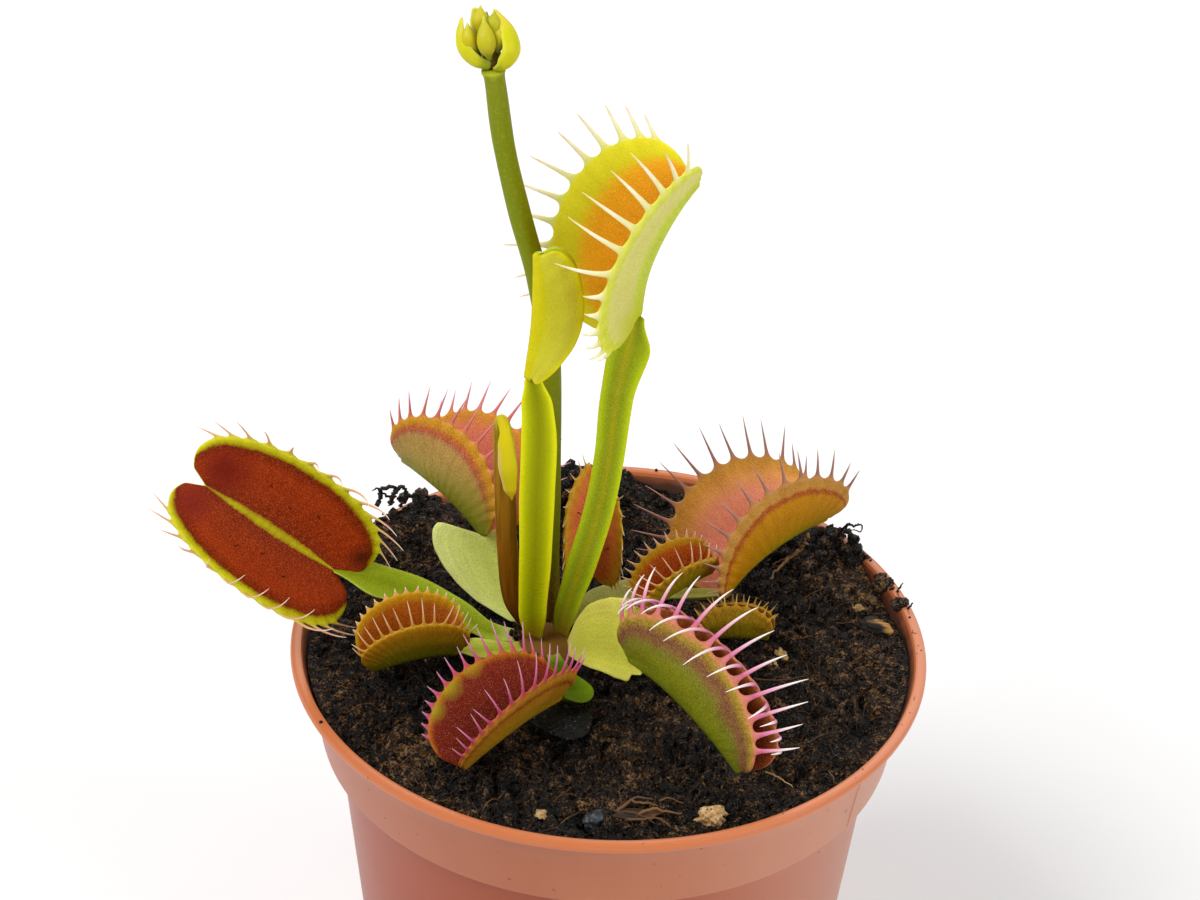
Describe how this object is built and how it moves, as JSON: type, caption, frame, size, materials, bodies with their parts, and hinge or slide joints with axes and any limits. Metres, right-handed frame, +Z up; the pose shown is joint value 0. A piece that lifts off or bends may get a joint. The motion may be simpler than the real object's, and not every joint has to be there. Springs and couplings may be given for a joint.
{
  "type": "potted venus flytrap",
  "caption": "Carnivorous houseplant with toothed snap traps on winged stalks and a budding flower stalk, growing in dark peat in a round tapered plastic pot.",
  "frame": {"origin": "middle of the pot's flat foot, on the surface it stands on", "axes": "+Z up, -Y towards the viewer's side of the plant, +X to the right"},
  "size_m": [0.1068, 0.09, 0.1706],
  "materials": {
    "pot_plastic": "satin",
    "damp_peat": "matte",
    "bulb": "satin",
    "pale_stone": "matte",
    "dark_stone": "satin",
    "bark": "matte",
    "dead_leaf": "satin",
    "stalk_green": "satin",
    "bract_green": "satin",
    "bud_yellow": "satin",
    "tall_leaf_skin": "satin",
    "left_leaf_skin": "satin",
    "small_left_leaf_skin": "satin",
    "front_leaf_skin": "satin",
    "front_right_leaf_skin": "satin",
    "right_leaf_skin": "satin",
    "middle_right_leaf_skin": "satin",
    "small_right_leaf_skin": "satin",
    "back_left_leaf_skin": "satin",
    "back_leaf_skin": "satin",
    "centre_leaf_skin": "satin",
    "young_leaf_skin": "satin"
  },
  "bodies": {
    "root": {"nursery_pot": "pot_plastic", "soil": "damp_peat", "crown": "bulb", "pale_stone": "pale_stone", "dark_stone": "dark_stone", "bark_chip": "bark", "bark_curl": "bark", "old_leaf": "dead_leaf", "tall_leaf": "tall_leaf_skin", "left_leaf": "left_leaf_skin", "small_left_leaf": "small_left_leaf_skin", "front_leaf": "front_leaf_skin", "front_right_leaf": "front_right_leaf_skin", "right_leaf": "right_leaf_skin", "middle_right_leaf": "middle_right_leaf_skin", "small_right_leaf": "small_right_leaf_skin", "back_left_leaf": "back_left_leaf_skin", "back_leaf": "back_leaf_skin", "centre_leaf": "centre_leaf_skin", "young_leaf": "young_leaf_skin", "flower_stalk": "stalk_green", "bract_left": "bract_green", "bract_right": "bract_green", "bract_back": "bract_green", "bud_left": "bud_yellow", "bud_back": "bud_yellow", "bud_right": "bud_yellow", "bud_top": "bud_yellow", "bud_front": "bud_yellow", "bud_middle": "bud_yellow"}
  },
  "joints": []
}
